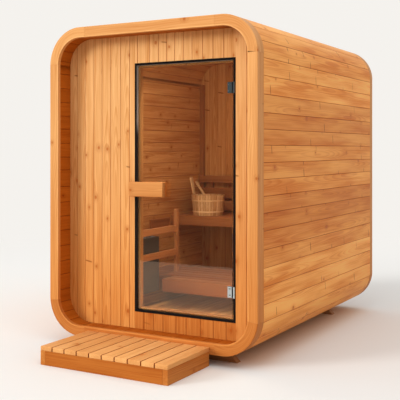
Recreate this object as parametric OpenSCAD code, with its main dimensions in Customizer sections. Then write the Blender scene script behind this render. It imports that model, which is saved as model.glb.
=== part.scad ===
// Indoor sauna cabin: a rounded shell of long boards held by a laminated hoop
// at each end, with a recessed front wall, a hinged glass door, two benches,
// a guarded heater, a water bucket with its ladle, and a separate slatted step.
// Millimetres. +Z up, +X to the right seen from the front, which faces -Y.
// The origin is at the bottom centre of the cabin and its step.

/* [Shell] */
// Outer width of the shell
shell_w = 1595; // [1450:5:2200]
// Outer height of the shell, without its cradles
shell_h = 2100; // [2060:5:2600]
// Length of the shell over both hoops
shell_len = 2240; // [2200:10:3200]
// Outer radius of the shell's rounded corners
corner_r = 250; // [150:5:300]
// Thickness of the outer cladding boards
clad_t = 24; // [18:1:30]
// Thickness of the inner stave boards
stave_t = 43; // [36:1:50]

/* [Hoops] */
// Depth of the hoop's face plate, which shows inside the porch
hoop_face = 26; // [20:1:40]
// Depth of the hoop's outer leg, which laps over the ends of the staves
hoop_leg = 60; // [50:1:80]
// How far the hoop stands in past the staves
hoop_lip = 4; // [2:1:8]
// Depth of the retaining band behind the front hoop
band_d = 24; // [15:1:40]
// Width of the open groove in front of the rear hoop
groove_w = 6; // [3:1:12]
// Bevel on the hoop's front edges
hoop_bevel = 3; // [1:0.5:5]
// Depth of the V joint between the front hoop's laminations
lap_v = 2; // [1:0.5:4]

/* [End walls] */
// Depth of the recess in front of each end wall
recess = 140; // [130:5:200]
// Thickness of an end wall
end_t = 65; // [55:1:90]

/* [Doorway] */
// Width of the opening in the front wall
door_w = 760; // [600:5:800]
// Height of the opening in the front wall
door_h = 1667; // [1600:1:1750]
// Middle of the opening, to the right of the cabin's middle
door_x = 197; // [100:1:200]
// Height of the opening's lower edge above the ground
door_z = 250; // [240:1:300]
// Width of the black metal frame's face
frame_face = 16; // [12:1:25]
// Depth of the black metal frame
frame_d = 30; // [28:1:36]
// How far the metal frame stands proud of the wall
frame_proud = 2; // [1:1:5]
// Thickness of the wooden jambs behind the metal frame
jamb_t = 28; // [25:1:40]

/* [Glass door] */
// Thickness of the glass
glass_t = 8; // [6:1:12]
// Gap round the glass
glass_gap = 6; // [5:0.5:10]
// Setback of the glass from the wall's front face
glass_setback = 10; // [9:1:11]
// Height of each hinge
hinge_h = 71; // [50:1:90]
// Width of the hinge plates that grip the glass
clamp_w = 33; // [25:1:50]
// Thickness of each hinge plate
clamp_t = 5; // [3:0.5:5]
// Radius of the hinge pin
pin_r = 3; // [2.5:0.1:3.5]
// Radial running clearance of the hinge pin
pin_gap = 0.05; // [0.02:0.01:0.1]
// Height of each hinge's middle above or below the door's middle
hinge_spread = 644; // [500:1:700]

/* [Handles] */
// Length of the outer handle
handle_len = 265; // [200:1:320]
// Height of a handle plate
handle_h = 98; // [60:1:120]
// Thickness of a handle plate
handle_t = 28; // [20:1:30]
// Length of the inner handle
inner_handle_len = 175; // [120:1:200]
// Finger room between a handle and the glass
handle_room = 22; // [20:1:35]
// Middle of the handles above the ground
handle_z = 1073; // [950:1:1200]
// How far the outer handle reaches past the metal frame
handle_reach = 22; // [5:1:40]
// Radius of the handle's standoffs
standoff_r = 9; // [6:0.5:12]

/* [Cradles] */
// Height of the cradles under the shell
cradle_h = 70; // [50:1:120]
// Thickness of a cradle
cradle_t = 50; // [40:1:90]
// How far each end of a cradle splays out at the ground
cradle_splay = 70; // [40:1:100]
// How far the top of a cradle stops short of the shell's curve
cradle_short = 28; // [0:1:100]
// Middle of the front cradle from the front of the shell, and of the rear one from the back
cradle_inset = [165, 365]; // [150:5:500]

/* [Step] */
// Width of the step
step_w = 930; // [700:5:1200]
// Depth of the step
step_d = 487; // [350:1:600]
// Height of the step
step_h = 117; // [100:1:140]
// Thickness of the deck boards
deck_t = 28; // [20:1:35]
// Number of deck boards
deck_n = 10; // [6:1:14]
// Gap between deck boards
deck_gap = 5.5; // [3:0.5:10]
// Thickness of the step's frame boards
step_board = 36; // [25:1:45]

/* [Benches] */
// Thickness of the bench slats
slat_t = 28; // [22:1:35]
// Gap between bench slats
slat_gap = 8; // [5:1:15]
// Thickness of fascias and bearers
board_t = 28; // [22:1:40]
// Height of the upper bench above the ground
upper_z = 780; // [700:5:900]
// Depth of the upper bench
upper_d = 533; // [450:1:600]
// Height of the upper bench's fascia
upper_fascia = 80; // [60:1:120]
// Height of the lower bench above the ground
lower_z = 358; // [340:1:420]
// Front of the lower bench behind the hoop's face
lower_y = 820; // [760:5:900]
// Depth of the lower bench
lower_d = 672; // [550:1:700]
// Depth of the notch in the lower bench behind the heater
notch_d = 182; // [150:1:220]
// Height of the lower bench's fascia
lower_fascia = 97; // [70:1:120]

/* [Backrest] */
// Height of each backrest slat, lowest first
back_slat_h = [90, 88, 62]; // [60:1:110]
// Lower edge of each backrest slat above the upper bench
back_slat_z = [13, 127, 260]; // [10:1:300]
// Thickness of the backrest slats
back_slat_t = 22; // [18:1:28]
// Thickness of the battens behind the backrest
batten_t = 38; // [25:1:50]
// Width and depth of the battens in the rear corners
corner_batten = 36; // [25:1:37]

/* [Heater and guard] */
// Size of the heater: out from the wall, along the wall, height
heater = [206, 455, 419]; // [180:1:500]
// Air space between the heater and the wall, on two rails
heater_off = 20; // [18:1:40]
// Rear face of the heater behind the hoop's face
heater_y = 955; // [900:5:980]
// Height of the heater's underside above the ground
heater_z = 241; // [220:1:300]
// Thickness of the heater's sheet casing
tray_wall = 3; // [2:0.5:6]
// Depth of the stone tray
tray_d = 60; // [40:1:90]
// Gap between the heater and its guard
guard_gap = 10; // [8:1:60]
// Thickness of the guard's post and rails
guard_t = 28; // [22:1:35]
// Depth of the guard's post, along the wall
post_d = 40; // [30:1:60]
// Height of the guard's post above the lower bench
post_h = 502; // [400:1:600]
// Rear face of the guard's post behind the hoop's face
post_y = 1195; // [1100:5:1250]
// Height of each guard rail
rail_h = 50; // [40:1:70]
// Lower edge of each guard rail above the ground
rail_z = [495, 683]; // [450:1:800]

/* [Air vent] */
// Length and height of the vent's frame on the left wall
vent = [305, 100]; // [80:1:400]
// Width of the vent frame's members
vent_rim = 18; // [12:1:30]
// Thickness of the vent frame
vent_t = 14; // [8:1:20]
// Front edge and lower edge of the vent
vent_at = [1164, 662]; // [600:1:1300]

/* [Bucket and ladle] */
// Middle of the bucket to the left of the cabin's middle
bucket_x = -460; // [-500:1:400]
// Middle of the bucket behind the front of the upper bench
bucket_y = 165; // [150:1:300]
// Outer radius of the bucket at its rim
rim_r = 143; // [120:1:170]
// Outer radius of the bucket at its foot
foot_r = 126; // [100:1:140]
// Height of the bucket's rim
bucket_h = 172; // [140:1:220]
// Number of staves in the bucket
bucket_n = 18; // [12:1:24]
// Thickness of the bucket's staves
stave_wall = 13; // [9:1:18]
// Depth of the groove in the staves that holds the bottom board
croze_d = 4; // [2:0.5:6]
// Height of the handle stave above the rim
ear_h = 150; // [80:1:160]
// Width of the handle stave at the rim and at its top
ear_w = [28, 46]; // [25:1:50]
// Height of each bucket hoop
bucket_hoop_h = 10; // [6:1:16]
// How far a bucket hoop stands proud
bucket_hoop_t = 3; // [2:0.5:5]
// Width and thickness of the ladle's flat handle
ladle_bar = [27, 12]; // [10:1:32]
// Length of the ladle's handle
ladle_len = 302; // [250:1:400]
// Radius of the ladle's bowl
bowl_r = 38; // [30:1:45]
// Height of the ladle's bowl
bowl_h = 45; // [35:1:55]
// Wall of the ladle's bowl
bowl_wall = 5; // [3:0.5:7]

/* [Hidden] */
$fn = 48;

seat = 0.3;                                  // clearance at curved seats
wall_t = clad_t + stave_t;
half_w = shell_w / 2;
flat_x = half_w - corner_r;                  // half of the flat part of roof and floor
base_z = cradle_h;                           // underside of the shell
top_z = base_z + shell_h;
mid_z = base_z + shell_h / 2;
flat_z = shell_h / 2 - corner_r;             // half of the flat part of a side
front_y = (step_d - shell_len) / 2;          // face of the front hoop
in_x = half_w - wall_t;                      // inner face of a side wall
inner_r = corner_r - wall_t;                 // inner radius of the shell's corners
corner_z = mid_z - flat_z;                   // height at which a lower corner starts
// How far the shell's inner surface stands in from the side wall at a height
function curve_in(z) = z >= corner_z ? 0 : inner_r - sqrt(inner_r * inner_r - pow(corner_z - z, 2));
wall_y = recess + end_t;                     // inner face of the front wall
back_y = shell_len - wall_y;                 // inner face of the back wall
door_x0 = door_x - door_w / 2;
door_x1 = door_x + door_w / 2;
door_z1 = door_z + door_h;
frame_y = recess - frame_proud;
jamb_y = frame_y + frame_d;
glass_y = recess + glass_setback;
hinge_gap = 12;                              // metal frame to the glass at the hinges
glass_x0 = door_x0 + frame_face + glass_gap;
glass_x1 = door_x1 - frame_face - hinge_gap;
pin_x = glass_x1 + 5;
pin_y = glass_y - 6;
knuckle_r = pin_r + 3;
knuckle_share = 0.6;                         // the door's share of the hinge height
hinge_z = [door_z + door_h / 2 - hinge_spread, door_z + door_h / 2 + hinge_spread];
handle_x0 = door_x0 - handle_reach;
standoff_x = [glass_x0 + 36, handle_x0 + handle_len - 40];
heater_x0 = -in_x + max(heater_off, curve_in(heater_z) + 2);
heater_x1 = heater_x0 + heater[0];
upper_y = back_y - upper_d - 2;              // front of the upper bench
notch_x = heater_x1 + 112;                      // left end of the lower bench's short slats
guard_x = heater_x1 + guard_gap + guard_t / 2;
wood = [0.86, 0.60, 0.36];
wood_pale = [0.93, 0.70, 0.46];
wood_dark = [0.66, 0.42, 0.24];
metal_black = [0.06, 0.06, 0.07];
steel = [0.62, 0.64, 0.66];

// ---- placing ----

// Everything is drawn with Y = 0 at the front hoop's face, then set on the origin
module placed() { translate([0, front_y, 0]) children(); }

// A box from its lowest to its highest corner
module block(low, high) { translate(low) cube(high - low); }

// A section in (outwards, along) drawn up one side: turn is 0 on the right, 180 on the left
module up_side(turn)
    translate([0, 0, mid_z]) rotate([0, turn, 0])
        translate([half_w, 0, -flat_z]) linear_extrude(height = 2 * flat_z) children();
module up_both_sides() for (turn = [0, 180]) up_side(turn) children();
// The same section along the roof and along the floor
module along_roof()
    translate([flat_x, 0, top_z]) rotate([0, -90, 0]) linear_extrude(height = 2 * flat_x) children();
module along_floor()
    translate([-flat_x, 0, base_z]) rotate([0, 90, 0]) linear_extrude(height = 2 * flat_x) children();
// The same section turned round the four corners
module round_corners()
    for (quarter = [0 : 3])
        let (turn = -90 * quarter, sx = quarter < 2 ? 1 : -1, sz = quarter == 1 || quarter == 2 ? 1 : -1)
            translate([sx * flat_x, 0, mid_z + sz * flat_z]) rotate([0, turn, 0])
                rotate([-90, 0, 0]) rotate_extrude(angle = 90) translate([corner_r, 0]) children();

// ---- sections: x is measured outwards from the shell's surface, y along the shell ----

module shell_section()
    polygon([
        [-wall_t, hoop_face], [-clad_t, hoop_face],
        [-clad_t, hoop_leg + band_d], [0, hoop_leg + band_d],
        [0, shell_len - hoop_leg - groove_w], [-clad_t, shell_len - hoop_leg - groove_w],
        [-clad_t, shell_len - hoop_face], [-wall_t, shell_len - hoop_face]
    ]);
module hoop_section()
    polygon([
        [-wall_t - hoop_lip, hoop_bevel], [-wall_t - hoop_lip + hoop_bevel, 0],
        [-hoop_bevel, 0], [0, hoop_bevel],
        [0, hoop_leg], [-clad_t + seat, hoop_leg],
        [-clad_t + seat, hoop_face], [-wall_t - hoop_lip, hoop_face]
    ]);
// The front hoop has one more lamination behind a V joint
module front_hoop_section() {
    hoop_section();
    polygon([
        [-lap_v, hoop_leg], [0, hoop_leg + lap_v],
        [0, hoop_leg + band_d], [-clad_t + seat, hoop_leg + band_d],
        [-clad_t + seat, hoop_leg]
    ]);
}
module rear_hoop_section() { translate([0, shell_len]) mirror([0, 1]) hoop_section(); }

// ---- shell ----

module floor_boards() { color(wood) placed() along_floor() shell_section(); }
module roof_boards() { color(wood) placed() along_roof() shell_section(); }
module left_wall() { color(wood) placed() up_side(180) shell_section(); }
module right_wall() { color(wood) placed() up_side(0) shell_section(); }
module shell_corners() { color(wood) placed() round_corners() shell_section(); }

module front_hoop_stiles() { color(wood_pale) placed() up_both_sides() front_hoop_section(); }
module front_hoop_rails() {
    color(wood_pale) placed() {
        along_roof() front_hoop_section();
        along_floor() front_hoop_section();
    }
}
module front_hoop_corners() { color(wood_pale) placed() round_corners() front_hoop_section(); }
module rear_hoop_stiles() { color(wood_pale) placed() up_both_sides() rear_hoop_section(); }
module rear_hoop_rails() {
    color(wood_pale) placed() {
        along_roof() rear_hoop_section();
        along_floor() rear_hoop_section();
    }
}
module rear_hoop_corners() { color(wood_pale) placed() round_corners() rear_hoop_section(); }

// ---- cradles ----

cradle_x = flat_x - cradle_short;            // half of a cradle's top

// A splayed cross beam under the flat of the floor, its middle at y
module cradle(y)
    color(wood_dark) placed() translate([0, y + cradle_t / 2, 0]) rotate([90, 0, 0])
        linear_extrude(height = cradle_t)
            polygon([
                [-cradle_x - cradle_splay, 0], [cradle_x + cradle_splay, 0],
                [cradle_x, cradle_h], [-cradle_x, cradle_h]
            ]);
module cradles() {
    cradle(cradle_inset[0]);
    cradle(shell_len - cradle_inset[1]);
}

// ---- end walls ----

end_r = corner_r - wall_t - seat;            // corner radius of an end wall
end_x = in_x - seat;                         // half width of an end wall
end_h = shell_h / 2 - wall_t - seat;         // half height of an end wall

// Half of an end wall, right of its middle, about its own centre
module end_half() {
    translate([0, -end_h]) square([flat_x, 2 * end_h]);
    translate([flat_x, -flat_z]) square([end_r, 2 * flat_z]);
    for (top = [0, 1])
        translate([flat_x, (2 * top - 1) * flat_z]) rotate(-90 * (1 - top)) quarter_disc(end_r);
}
module quarter_disc(r) { intersection() { circle(r); square(r); } }

// An upright panel cut from an end wall between two x values and two heights
module end_panel(y, x0, x1, z0, z1)
    color(wood) placed() translate([0, y + end_t, mid_z]) rotate([90, 0, 0])
        linear_extrude(height = end_t) intersection() {
            union() { end_half(); mirror([1, 0]) end_half(); }
            translate([x0, z0 - mid_z]) square([x1 - x0, z1 - z0]);
        }
module front_wall_left() { end_panel(recess, -half_w, door_x0, base_z, top_z); }
module front_wall_right() { end_panel(recess, door_x1, half_w, base_z, top_z); }
module front_wall_over() { end_panel(recess, door_x0, door_x1, door_z1, top_z); }
module front_wall_under() { end_panel(recess, door_x0, door_x1, base_z, door_z); }
module back_wall() { end_panel(back_y, -half_w, half_w, base_z, top_z); }

// ---- doorway ----

module metal_frame_sides()
    color(metal_black) placed()
        for (x = [door_x0, door_x1 - frame_face])
            block([x, frame_y, door_z], [x + frame_face, jamb_y, door_z1]);
module metal_frame_ends()
    color(metal_black) placed()
        for (z = [door_z, door_z1 - frame_face])
            block([door_x0 + frame_face, frame_y, z],
                  [door_x1 - frame_face, jamb_y, z + frame_face]);
module door_jambs()
    color(wood) placed()
        for (x = [door_x0, door_x1 - jamb_t])
            block([x, jamb_y, door_z], [x + jamb_t, wall_y, door_z1]);
module door_head_and_sill()
    color(wood) placed()
        for (z = [door_z, door_z1 - jamb_t])
            block([door_x0 + jamb_t, jamb_y, z], [door_x1 - jamb_t, wall_y, z + jamb_t]);

// ---- hinges: the leaf carries the pin, the clamp carries the knuckle ----

leaf_t = 3;                                  // leaf plate on the metal frame's face
leaf_w = 11;
leaf_x = door_x1 - frame_face;               // the metal frame's inner face
lug_h = hinge_h * (1 - knuckle_share) / 2;
knuckle_h = hinge_h * knuckle_share - 2;
clamp_x1 = glass_x1 - 2.5;                   // clamps stop short of the lugs

module hinge_leaves()
    color(steel) placed()
        for (z = hinge_z) {
            block([leaf_x, frame_y - leaf_t, z - hinge_h / 2],
                  [leaf_x + leaf_w, frame_y, z + hinge_h / 2]);
            for (end = [-hinge_h / 2, hinge_h / 2 - lug_h])
                translate([0, 0, z + end]) {
                    translate([pin_x, pin_y, 0]) cylinder(r = knuckle_r, h = lug_h);
                    block([pin_x, frame_y, 0], [leaf_x, pin_y + 4, lug_h]);
                    block([leaf_x - 1.5, frame_y - leaf_t, 0], [leaf_x, frame_y, lug_h]);
                }
            translate([pin_x, pin_y, z - hinge_h / 2]) cylinder(r = pin_r, h = hinge_h);
        }

module hinge_clamps()
    color(steel) placed()
        for (z = hinge_z)
            difference() {
                union() {
                    for (y = [glass_y - clamp_t, glass_y + glass_t])
                        block([glass_x1 - clamp_w, y, z - hinge_h / 2],
                              [clamp_x1, y + clamp_t, z + hinge_h / 2]);
                    translate([pin_x, pin_y, z - knuckle_h / 2])
                        cylinder(r = knuckle_r, h = knuckle_h);
                    block([clamp_x1 - 1, glass_y - clamp_t, z - knuckle_h / 2],
                          [pin_x, glass_y - 1, z + knuckle_h / 2]);
                }
                translate([pin_x, pin_y, z - hinge_h])
                    cylinder(r = pin_r + pin_gap, h = 2 * hinge_h);
            }

module door_glass()
    color([0.35, 0.25, 0.18, 0.35]) placed()
        block([glass_x0, glass_y, door_z + frame_face + glass_gap],
              [glass_x1, glass_y + glass_t, door_z1 - frame_face - glass_gap]);

// ---- handles ----

// A plate with its four long edges bevelled, lying along X
module handle_plate(x0, length, y) {
    bevel = 4;
    color(wood_pale) placed() translate([x0, y, handle_z]) rotate([90, 0, 90])
        linear_extrude(height = length)
            polygon([
                [bevel, -handle_h / 2], [handle_t - bevel, -handle_h / 2],
                [handle_t, -handle_h / 2 + bevel], [handle_t, handle_h / 2 - bevel],
                [handle_t - bevel, handle_h / 2], [bevel, handle_h / 2],
                [0, handle_h / 2 - bevel], [0, -handle_h / 2 + bevel]
            ]);
}
module outer_handle() { handle_plate(handle_x0, handle_len, glass_y - handle_room - handle_t); }
module inner_handle()
    handle_plate(glass_x0 + 20, inner_handle_len, glass_y + glass_t + handle_room);
module handle_standoffs()
    color(steel) placed()
        for (x = standoff_x)
            for (y = [glass_y, glass_y + glass_t + handle_room])
                translate([x, y, handle_z]) rotate([90, 0, 0])
                    cylinder(r = standoff_r, h = handle_room);

// ---- benches ----

// Equal slats along X that fill a depth from y0 to y1
module slats(x0, x1, y0, y1, z, count) {
    width = (y1 - y0 - (count - 1) * slat_gap) / count;
    for (k = [0 : count - 1])
        block([x0, y0 + k * (width + slat_gap), z - slat_t],
              [x1, y0 + k * (width + slat_gap) + width, z]);
}
bench_x = in_x - 1;                          // half length of a full bench slat
lower_end = lower_y + lower_d;
notch_y = lower_y + notch_d;

module upper_bench_slats()
    color(wood) placed()
        slats(-bench_x, bench_x, upper_y + board_t + slat_gap, back_y - 2, upper_z, 5);
module upper_bench_fascia()
    color(wood) placed()
        block([-bench_x, upper_y, upper_z - upper_fascia], [bench_x, upper_y + board_t, upper_z]);
module upper_bench_bearers()
    color(wood_dark) placed()
        for (x = [-in_x, -board_t / 2, in_x - board_t])
            block([x, upper_y + board_t, upper_z - upper_fascia],
                  [x + board_t, back_y, upper_z - slat_t]);

module lower_bench_slats()
    color(wood) placed() {
        slats(notch_x, lower_x, lower_y + board_t + slat_gap, notch_y, lower_z, 2);
        slats(-lower_x, lower_x, notch_y + slat_gap, lower_end, lower_z, 5);
    }
lower_x = bench_x - curve_in(lower_z - slat_t);

// The curve of the shell, in (distance in from the side wall, height), between two heights
function scribed(low, high) =
    [for (k = [0 : 4]) let (z = low + (high - low) * k / 4) [curve_in(z) + (z < corner_z ? seat : 0), z]];

module lower_bench_fascia()
    color(wood) placed() translate([0, lower_y + board_t, 0]) rotate([90, 0, 0])
        linear_extrude(height = board_t)
            polygon(concat(
                [[notch_x, lower_z], [notch_x, lower_z - lower_fascia]],
                [for (p = scribed(lower_z - lower_fascia, lower_z)) [bench_x - p[0], p[1]]]
            ));
// A bearer scribed to the curve, against the left wall (side -1) or the right wall (side 1)
module wall_bearer(side, y0)
    color(wood_dark) placed() translate([0, lower_end, 0]) rotate([90, 0, 0])
        linear_extrude(height = lower_end - y0)
            polygon(concat(
                [[side * (in_x - board_t), lower_z - slat_t],
                 [side * (in_x - board_t), lower_z - lower_fascia]],
                [for (p = scribed(lower_z - lower_fascia, lower_z - slat_t)) [side * (in_x - p[0]), p[1]]]
            ));
module lower_bench_bearers() {
    wall_bearer(-1, notch_y + slat_gap);
    wall_bearer(1, lower_y + board_t);
    color(wood_dark) placed()
        for (x = [notch_x, door_x - board_t / 2])
            block([x, lower_y + board_t, lower_z - lower_fascia],
                  [x + board_t, lower_end, lower_z - slat_t]);
}

// ---- backrest and corner battens ----

module backrest_slats()
    color(wood) placed()
        for (k = [0 : len(back_slat_h) - 1])
            block([-bench_x, back_y - batten_t - back_slat_t, upper_z + back_slat_z[k]],
                  [bench_x, back_y - batten_t, upper_z + back_slat_z[k] + back_slat_h[k]]);
back_top = back_slat_z[2] + back_slat_h[2];
module backrest_battens()
    color(wood_dark) placed()
        for (x = [-in_x + 2 * corner_batten, -board_t, in_x - 2 * corner_batten - 2 * board_t])
            block([x, back_y - batten_t, upper_z], [x + 2 * board_t, back_y, upper_z + back_top]);
module corner_battens()
    color(wood) placed()
        for (x = [-in_x, in_x - corner_batten])
            block([x, back_y - corner_batten, upper_z],
                  [x + corner_batten, back_y, mid_z + flat_z]);

// ---- heater, guard and vent on the left ----

module heater_body()
    color([0.22, 0.27, 0.33]) placed() {
        difference() {
            block([heater_x0, heater_y - heater[1], heater_z],
                  [heater_x1, heater_y, heater_z + heater[2]]);
            // The stone tray above its floor, and the space for the elements below it
            for (z = [[heater_z + heater[2] - tray_d, heater_z + heater[2] + 1],
                      [heater_z - 1, heater_z + heater[2] - tray_d - tray_wall]])
                block([heater_x0 + tray_wall, heater_y - heater[1] + tray_wall, z[0]],
                      [heater_x1 - tray_wall, heater_y - tray_wall, z[1]]);
        }
        for (y = [heater_y - heater[1] + 60, heater_y - 90])
            block([-in_x, y, max(heater_z + 100, corner_z)],
                  [heater_x0, y + 30, heater_z + heater[2] - 60]);
    }
module heater_stones()
    color([0.35, 0.34, 0.33]) placed()
        block([heater_x0 + tray_wall + 2, heater_y - heater[1] + tray_wall + 2,
               heater_z + heater[2] - tray_d],
              [heater_x1 - tray_wall - 2, heater_y - tray_wall - 2,
               heater_z + heater[2] + 18]);
module guard_post()
    color(wood) placed()
        block([guard_x - guard_t / 2, post_y - post_d, lower_z],
              [guard_x + guard_t / 2, post_y, lower_z + post_h]);
module guard_rails()
    color(wood) placed()
        for (z = rail_z)
            block([guard_x - guard_t / 2, wall_y, z],
                  [guard_x + guard_t / 2, post_y - post_d, z + rail_h]);
module wall_vent()
    color(wood_dark) placed() difference() {
        block([-in_x, vent_at[0], vent_at[1]], [-in_x + vent_t, vent_at[0] + vent[0], vent_at[1] + vent[1]]);
        block([-in_x + vent_t / 2, vent_at[0] + vent_rim, vent_at[1] + vent_rim],
              [-in_x + vent_t + 1, vent_at[0] + vent[0] - vent_rim, vent_at[1] + vent[1] - vent_rim]);
    }

// ---- bucket and ladle ----

bucket_slope = (rim_r - foot_r) / bucket_h;
foot_lift = 12;                              // underside of the bucket's bottom board
bottom_t = 14;                               // height of the groove that holds the bottom board
bottom_z = foot_lift + bottom_t;
stave_joint = 0.15;                          // angle left open between two staves
ear_lean = 6;                                // the handle stave leans out more than the others
ear_round = 12;                              // its top corners
function wall_r(z) = foot_r + bucket_slope * z;
module at_bucket() { placed() translate([bucket_x, upper_y + bucket_y, upper_z]) children(); }

// Tapered staves round a bottom board that sits in a groove; one stave runs up as the handle
module bucket_stave()
    rotate([0, 0, -180 / bucket_n]) rotate_extrude(angle = 360 / bucket_n - stave_joint)
        polygon([
            [foot_r - stave_wall, 0], [foot_r, 0], [rim_r, bucket_h], [rim_r - stave_wall, bucket_h],
            [wall_r(bottom_z) - stave_wall, bottom_z],
            [wall_r(bottom_z) - stave_wall + croze_d, bottom_z],
            [wall_r(foot_lift) - stave_wall + croze_d, foot_lift],
            [wall_r(foot_lift) - stave_wall, foot_lift]
        ]);
// The handle stave above the rim: narrow at the rim, wide and rounded at its top
module bucket_ear()
    translate([1 - stave_wall / 2, 0, 0]) rotate([90, 0, 90]) linear_extrude(height = stave_wall - 2)
        hull() {
            translate([-ear_w[0] / 2, -8]) square([ear_w[0], 8]);
            for (side = [-1, 1])
                translate([side * (ear_w[1] / 2 - ear_round), ear_h - ear_round]) circle(r = ear_round);
        }
module bucket_staves()
    color(wood_pale) at_bucket() {
        for (k = [1 : bucket_n - 1])
            rotate([0, 0, 180 + k * 360 / bucket_n]) bucket_stave();
        rotate([0, 0, 180]) {
            bucket_stave();
            translate([rim_r - stave_wall / 2, 0, bucket_h]) rotate([0, atan(bucket_slope) + ear_lean, 0])
                bucket_ear();
        }
        translate([0, 0, foot_lift + seat / 2])
            cylinder(r = wall_r(foot_lift) - stave_wall + croze_d - seat, h = bottom_t - seat);
    }
module bucket_hoop(z)
    rotate_extrude()
        polygon([
            [wall_r(z) + seat, z], [wall_r(z) + bucket_hoop_t, z],
            [wall_r(z + bucket_hoop_h) + bucket_hoop_t, z + bucket_hoop_h],
            [wall_r(z + bucket_hoop_h) + seat, z + bucket_hoop_h]
        ]);
module bucket_hoops()
    color(steel) at_bucket() {
        bucket_hoop(bucket_h * 0.16);
        bucket_hoop(bucket_h * 0.70);
    }
// The ladle stands in the bucket and leans on its rim, towards the back and the left.
// Its handle passes the bucket's middle at ladle_side and rests on the rim's inner edge.
ladle_lean = 43;
ladle_turn = 164.5;
ladle_side = -54.5;
ladle_z = 54;                                // lower end of the ladle's handle
ladle_half = ladle_bar[1] / 2;               // half the thickness of the handle
ladle_edge = (ladle_bar[0] - ladle_bar[1]) / 2;
ladle_at_rim = min([for (side = [-1, 1], turn = [-90 : 5 : 90])
    sqrt(pow(rim_r - stave_wall - seat, 2) - pow(ladle_side + side * ladle_edge + ladle_half * sin(turn), 2))
        - ladle_half * cos(turn) / cos(ladle_lean)]);
ladle_at = ladle_at_rim - (bucket_h - ladle_z) * tan(ladle_lean);
module ladle()
    color(wood_pale) at_bucket() rotate([0, 0, ladle_turn]) translate([0, ladle_side, 0]) {
        translate([ladle_at + 4 - bowl_r, 0, bottom_z]) rotate_extrude()
            polygon([
                [0, 0], [bowl_r * 0.7, 0], [bowl_r * 0.9, bowl_h * 0.25], [bowl_r, bowl_h * 0.6],
                [bowl_r, bowl_h], [bowl_r - bowl_wall, bowl_h],
                [bowl_r - bowl_wall, bowl_h * 0.6], [bowl_r * 0.9 - bowl_wall, bowl_h * 0.3],
                [bowl_r * 0.6, bowl_wall + 1], [0, bowl_wall + 1]
            ]);
        translate([ladle_at, 0, ladle_z]) rotate([0, ladle_lean, 0])
            linear_extrude(height = ladle_len) hull()
                for (side = [-1, 1]) translate([0, side * ladle_edge]) circle(r = ladle_half);
    }

// ---- step ----

module step_deck() {
    width = (step_w - (deck_n - 1) * deck_gap) / deck_n;
    color(wood_pale) placed()
        for (k = [0 : deck_n - 1])
            translate([-step_w / 2 + k * (width + deck_gap), -step_d, step_h - deck_t])
                cube([width, step_d, deck_t]);
}
module step_sides()
    color(wood) placed()
        for (x = [-step_w / 2, step_w / 2 - step_board])
            block([x, -step_d, 0], [x + step_board, 0, step_h - deck_t]);
module step_crossboards()
    color(wood) placed()
        for (y = [-step_d, -step_d / 2 - step_board / 2, -step_board])
            block([-step_w / 2 + step_board, y, 0],
                  [step_w / 2 - step_board, y + step_board, step_h - deck_t]);

// ---- the nodes ----

cradles();
floor_boards();
roof_boards();
left_wall();
right_wall();
shell_corners();
front_hoop_stiles();
front_hoop_rails();
front_hoop_corners();
rear_hoop_stiles();
rear_hoop_rails();
rear_hoop_corners();
front_wall_left();
front_wall_right();
front_wall_over();
front_wall_under();
back_wall();
metal_frame_sides();
metal_frame_ends();
door_jambs();
door_head_and_sill();
hinge_leaves();
hinge_clamps();
door_glass();
outer_handle();
inner_handle();
handle_standoffs();
corner_battens();
upper_bench_slats();
upper_bench_bearers();
upper_bench_fascia();
backrest_slats();
backrest_battens();
lower_bench_slats();
lower_bench_bearers();
lower_bench_fascia();
heater_body();
heater_stones();
guard_post();
guard_rails();
wall_vent();
bucket_staves();
bucket_hoops();
ladle();
step_deck();
step_sides();
step_crossboards();
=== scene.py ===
"""Finishes for an indoor sauna cabin: boards, hoops, glass door, benches and step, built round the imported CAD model."""
import itertools
import math
import random

import bmesh
import bpy
from mathutils import Matrix, Vector, noise


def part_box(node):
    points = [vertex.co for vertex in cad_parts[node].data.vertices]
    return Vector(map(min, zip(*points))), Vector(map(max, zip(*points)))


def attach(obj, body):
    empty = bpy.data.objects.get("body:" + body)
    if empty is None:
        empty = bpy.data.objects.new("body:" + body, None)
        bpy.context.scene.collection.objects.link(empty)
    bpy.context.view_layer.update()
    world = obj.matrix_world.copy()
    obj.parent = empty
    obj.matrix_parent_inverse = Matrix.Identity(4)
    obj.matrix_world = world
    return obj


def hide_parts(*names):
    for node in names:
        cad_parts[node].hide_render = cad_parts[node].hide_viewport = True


bl_info = {
    "name": "Indoor sauna cabin",
    "version": (1, 0, 0),
    "blender": (4, 5, 0),
    "location": "View3D > Sidebar > Sauna",
    "description": "Builds the boards, fittings and finishes of an indoor sauna cabin on its CAD frame",
    "category": "Object",
}

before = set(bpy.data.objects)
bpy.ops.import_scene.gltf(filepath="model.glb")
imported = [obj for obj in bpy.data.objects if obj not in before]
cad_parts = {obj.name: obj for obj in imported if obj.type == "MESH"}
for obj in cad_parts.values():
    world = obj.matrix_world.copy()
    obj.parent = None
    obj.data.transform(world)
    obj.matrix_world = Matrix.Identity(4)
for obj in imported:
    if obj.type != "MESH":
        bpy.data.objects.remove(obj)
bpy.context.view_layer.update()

# ---- measures taken from the frame, in metres ----

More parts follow.
